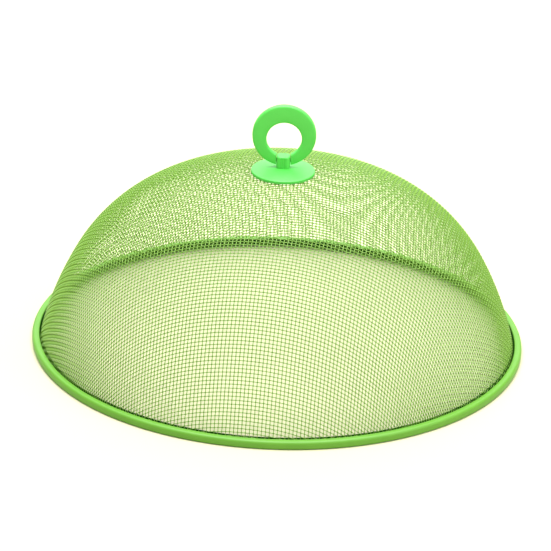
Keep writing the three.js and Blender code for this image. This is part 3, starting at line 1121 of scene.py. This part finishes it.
@dataclass
class CrownClamp:
    """What holds the handle base on, inside the dome: a backing disc, a washer and a pan-head screw."""

    plastic: bpy.types.Material
    zinc: bpy.types.Material
    bore_radius: float = 2.05 * MM
    backing_radius: float = 11.0 * MM
    backing_edge_radius: float = 0.6 * MM
    washer_radius: float = 4.6 * MM
    washer_edge_radius: float = 0.15 * MM
    shank_radius: float = 1.55 * MM
    thread_radius: float = 1.95 * MM
    thread_pitch: float = 1.4 * MM
    thread_root: float = 0.1 * MM
    thread_half_share: float = 0.4
    thread_start: float = 127.7 * MM
    thread_turns: int = 5
    thread_steps: int = 32
    head_radius: float = 3.6 * MM
    head_height: float = 2.4 * MM
    head_edge_radius: float = 1.3 * MM
    head_back_radius: float = 0.2 * MM
    tip_radius: float = 0.5 * MM
    recess_length: float = 3.8 * MM
    recess_width: float = 0.9 * MM
    recess_depth: float = 1.2 * MM
    recess_taper: float = 0.7
    steps: int = 96

    def _flat_ring(self, node: str, name: str, radius: float, edges: dict[int, float]) -> bpy.types.Object:
        """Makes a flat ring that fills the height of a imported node.

        Args:
            node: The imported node.
            name: The piece's name.
            radius: Its outer radius.
            edges: The radius of each rounded corner, of four from the bore's foot.

        Returns:
            The finished object.
        """
        bottom, top = (corner.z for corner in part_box(node))
        corners = [(self.bore_radius, bottom), (radius, bottom), (radius, top), (self.bore_radius, top)]
        return finished_piece(name, spun(section(corners, edges), self.steps))

    def _thread(self) -> bmesh.types.BMesh:
        """Winds the thread's ridge up the shank."""
        bm = bmesh.new()
        inner, outer = self.shank_radius - self.thread_root, self.thread_radius
        half = self.thread_half_share * self.thread_pitch
        z = self.thread_start
        verts = [bm.verts.new((r, 0, h)) for r, h in ((inner, z - half), (outer, z), (inner, z + half))]
        start = bm.faces.new(verts)
        rise = self.thread_pitch / self.thread_steps
        steps = self.thread_turns * self.thread_steps
        bmesh.ops.spin(
            bm,
            geom=[start, *start.edges, *start.verts],
            cent=(0, 0, 0),
            axis=(0, 0, 1),
            angle=FULL_TURN * self.thread_turns,
            steps=steps,
            dvec=(0, 0, rise),
            use_merge=False,
        )
        return bm

    def _recess(self, foot: float) -> bmesh.types.BMesh:
        """Makes the tapered cross that is cut into the head."""
        cross = None
        for turn in (0, math.pi / 2):
            arm = block((self.recess_length, self.recess_width, 2 * self.recess_depth), (0, 0, foot))
            for vert in arm.verts:
                if vert.co.z > foot:
                    vert.co.x *= self.recess_taper
            bmesh.ops.rotate(arm, verts=arm.verts, cent=(0, 0, 0), matrix=Matrix.Rotation(turn, 3, "Z"))
            cross = joined(cross, arm, Join.UNITE) if cross else arm
        return cross

    def _screw(self) -> bpy.types.Object:
        """Makes the screw: pan head with a crossed recess, threaded shank and a blunt tip."""
        foot, tip = (corner.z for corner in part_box("clamp_screw"))
        head_top = foot + self.head_height
        corners = [
            (0, foot),
            (self.head_radius, foot),
            (self.head_radius, head_top),
            (self.shank_radius, head_top),
            (self.shank_radius, tip),
            (0, tip),
        ]
        rounds = {1: self.head_edge_radius, 2: self.head_back_radius, 4: self.tip_radius}
        screw = spun(section(corners, rounds), self.steps)
        screw = joined(screw, self._thread(), Join.UNITE)
        screw = joined(screw, self._recess(foot), Join.CUT)
        piece = finished_piece("pan_head_screw", screw, 30)
        return dress(piece, self.zinc, Body.COVER, Slot.STEEL, "clamp_screw")

    def build(self) -> list[bpy.types.Object]:
        """Returns the backing disc, the washer and the screw."""
        soft = {1: self.backing_edge_radius, 2: self.backing_edge_radius}
        backing = self._flat_ring("backing_disc", "moulded_backing_disc", self.backing_radius, soft)
        eased = {1: self.washer_edge_radius, 2: self.washer_edge_radius}
        washer = self._flat_ring("screw_washer", "flat_washer", self.washer_radius, eased)
        return [
            dress(backing, self.plastic, Body.COVER, Slot.PLASTIC, "backing_disc"),
            dress(washer, self.zinc, Body.COVER, Slot.STEEL, "screw_washer"),
            self._screw(),
        ]


# The studio


@dataclass
class Studio:
    """A bright white sweep under soft light, and the camera at the photograph's angle."""

    target: tuple[float, float, float] = (-2.66 * MM, 0.0, 50.74 * MM)
    distance: float = 2600 * MM
    elevation_degrees: float = 24.0
    roll_degrees: float = 2.037
    lens: float = 238.87
    sensor_width: float = 36.0
    seen_from: float = 0.1
    seen_to: float = 50.0
    floor_size: float = 8.0
    floor_colour: str = "c6c3a2"
    floor_roughness: float = 0.9
    sky_strength: float = 0.5
    top_place: tuple[float, float, float] = (0.0, -0.1, 4.0)
    top_size: float = 4.0
    top_power: float = 400.0
    right_place: tuple[float, float, float] = (1.8, -0.9, 1.0)
    right_size: float = 1.2
    right_power: float = 14.0
    back_place: tuple[float, float, float] = (0.0, 2.8, 2.0)
    back_size: float = 4.2
    back_power: float = 84.0

    def _camera(self) -> None:
        """Sets the camera on its line of sight and rolls it about that line."""
        tilt = math.radians(self.elevation_degrees)
        back = Vector((0, -math.cos(tilt), math.sin(tilt)))
        data = bpy.data.cameras.new("camera")
        data.lens, data.sensor_width = self.lens, self.sensor_width
        data.clip_start, data.clip_end = self.seen_from, self.seen_to
        camera = new_object("camera", data)
        camera.location = Vector(self.target) + back * self.distance
        camera.rotation_mode = "QUATERNION"
        roll = Quaternion((0, 0, 1), math.radians(self.roll_degrees))
        camera.rotation_quaternion = back.to_track_quat("Z", "Y") @ roll
        bpy.context.scene.camera = camera

    def _floor(self) -> None:
        """Lays the floor, pale and slightly matt."""
        bm = bmesh.new()
        bmesh.ops.create_grid(bm, x_segments=1, y_segments=1, size=self.floor_size / 2)
        mesh = bpy.data.meshes.new("floor")
        bm.to_mesh(mesh)
        bm.free()
        material, _, shader = new_material("matt_paper")
        shader.inputs["Base Color"].default_value = linear_colour(self.floor_colour)
        shader.inputs["Roughness"].default_value = self.floor_roughness
        mesh.materials.append(material)
        new_object("floor", mesh)

    def _soft_light(self, name: str, place: tuple[float, float, float], size: float, power: float) -> None:
        """Hangs one square soft light that faces the object.

        Args:
            name: The light's name.
            place: Where it hangs, in metres.
            size: The length of its side, in metres.
            power: Its power, in watts.
        """
        data = bpy.data.lights.new(name, "AREA")
        data.shape, data.size, data.energy = "SQUARE", size, power
        light = new_object(name, data)
        light.location = place
        light.rotation_mode = "QUATERNION"
        light.rotation_quaternion = (Vector(place) - Vector(self.target)).to_track_quat("Z", "Y")

    def build(self) -> None:
        """Builds the sweep, the lights and the camera."""
        scene = bpy.context.scene
        scene.view_settings.view_transform = "Standard"
        world = scene.world or bpy.data.worlds.new("sky")
        scene.world = world
        world.use_nodes = True
        sky = world.node_tree.nodes["Background"]
        sky.inputs["Color"].default_value = (1, 1, 1, 1)
        sky.inputs["Strength"].default_value = self.sky_strength
        self._floor()
        self._soft_light("top_light", self.top_place, self.top_size, self.top_power)
        self._soft_light("right_light", self.right_place, self.right_size, self.right_power)
        self._soft_light("back_light", self.back_place, self.back_size, self.back_power)
        self._camera()


def main() -> None:
    """Builds the studio and every piece, and reports each piece."""
    logging.basicConfig(level=logging.INFO, format="%(message)s")
    Studio().build()
    meridian = Meridian()
    # The enamel here is the dark material of painted shade for the cloth's edge and the hoop.
    plastic, zinc, enamel = MouldedPolypropylene().build(), ZincPlate().build(), PaintedShadeSkin().build()
    assemblies = [
        WovenDome(meridian, EnamelledWire().build(), enamel),
        RolledRim(meridian, PowderCoat().build(), enamel),
        HandleBase(meridian, plastic),
        FingerRing(plastic),
        CrownClamp(plastic, zinc),
    ]
    for assembly in assemblies:
        for piece in assembly.build():
            LOG.info("%s: %s, %d faces", type(assembly).__name__, piece.name, len(piece.data.polygons))


if __name__ == "__main__":
    main()
